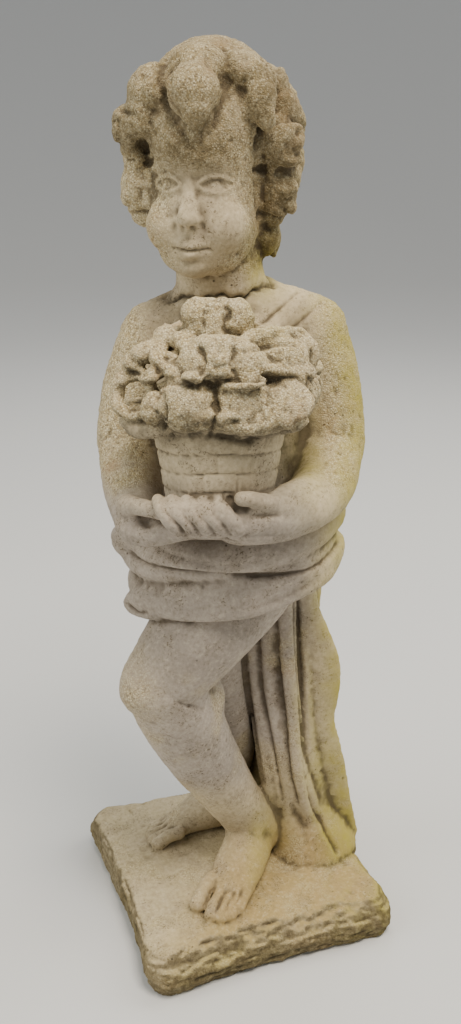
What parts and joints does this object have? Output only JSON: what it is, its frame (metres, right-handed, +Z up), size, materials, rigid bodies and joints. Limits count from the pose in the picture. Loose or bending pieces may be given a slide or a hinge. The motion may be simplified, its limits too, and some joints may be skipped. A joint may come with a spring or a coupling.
{
  "type": "garden statue",
  "caption": "Cast stone garden statue of a standing curly-haired cherub, draped at the hips, hugging a basket of flowers on a low square plinth.",
  "frame": {"origin": "centre of the flat underside of the square plinth", "axes": "+Z up through the figure; +X and +Y along the plinth's sides; the figure looks towards -Y, turned about 20 degrees towards -X"},
  "size_m": [0.2682, 0.2948, 0.8247],
  "materials": {
    "cast_stone": "weathered, sand grains laid bare, with algae and lichen"
  },
  "bodies": {
    "root": {"cherub_statue": "cast_stone"}
  },
  "joints": []
}
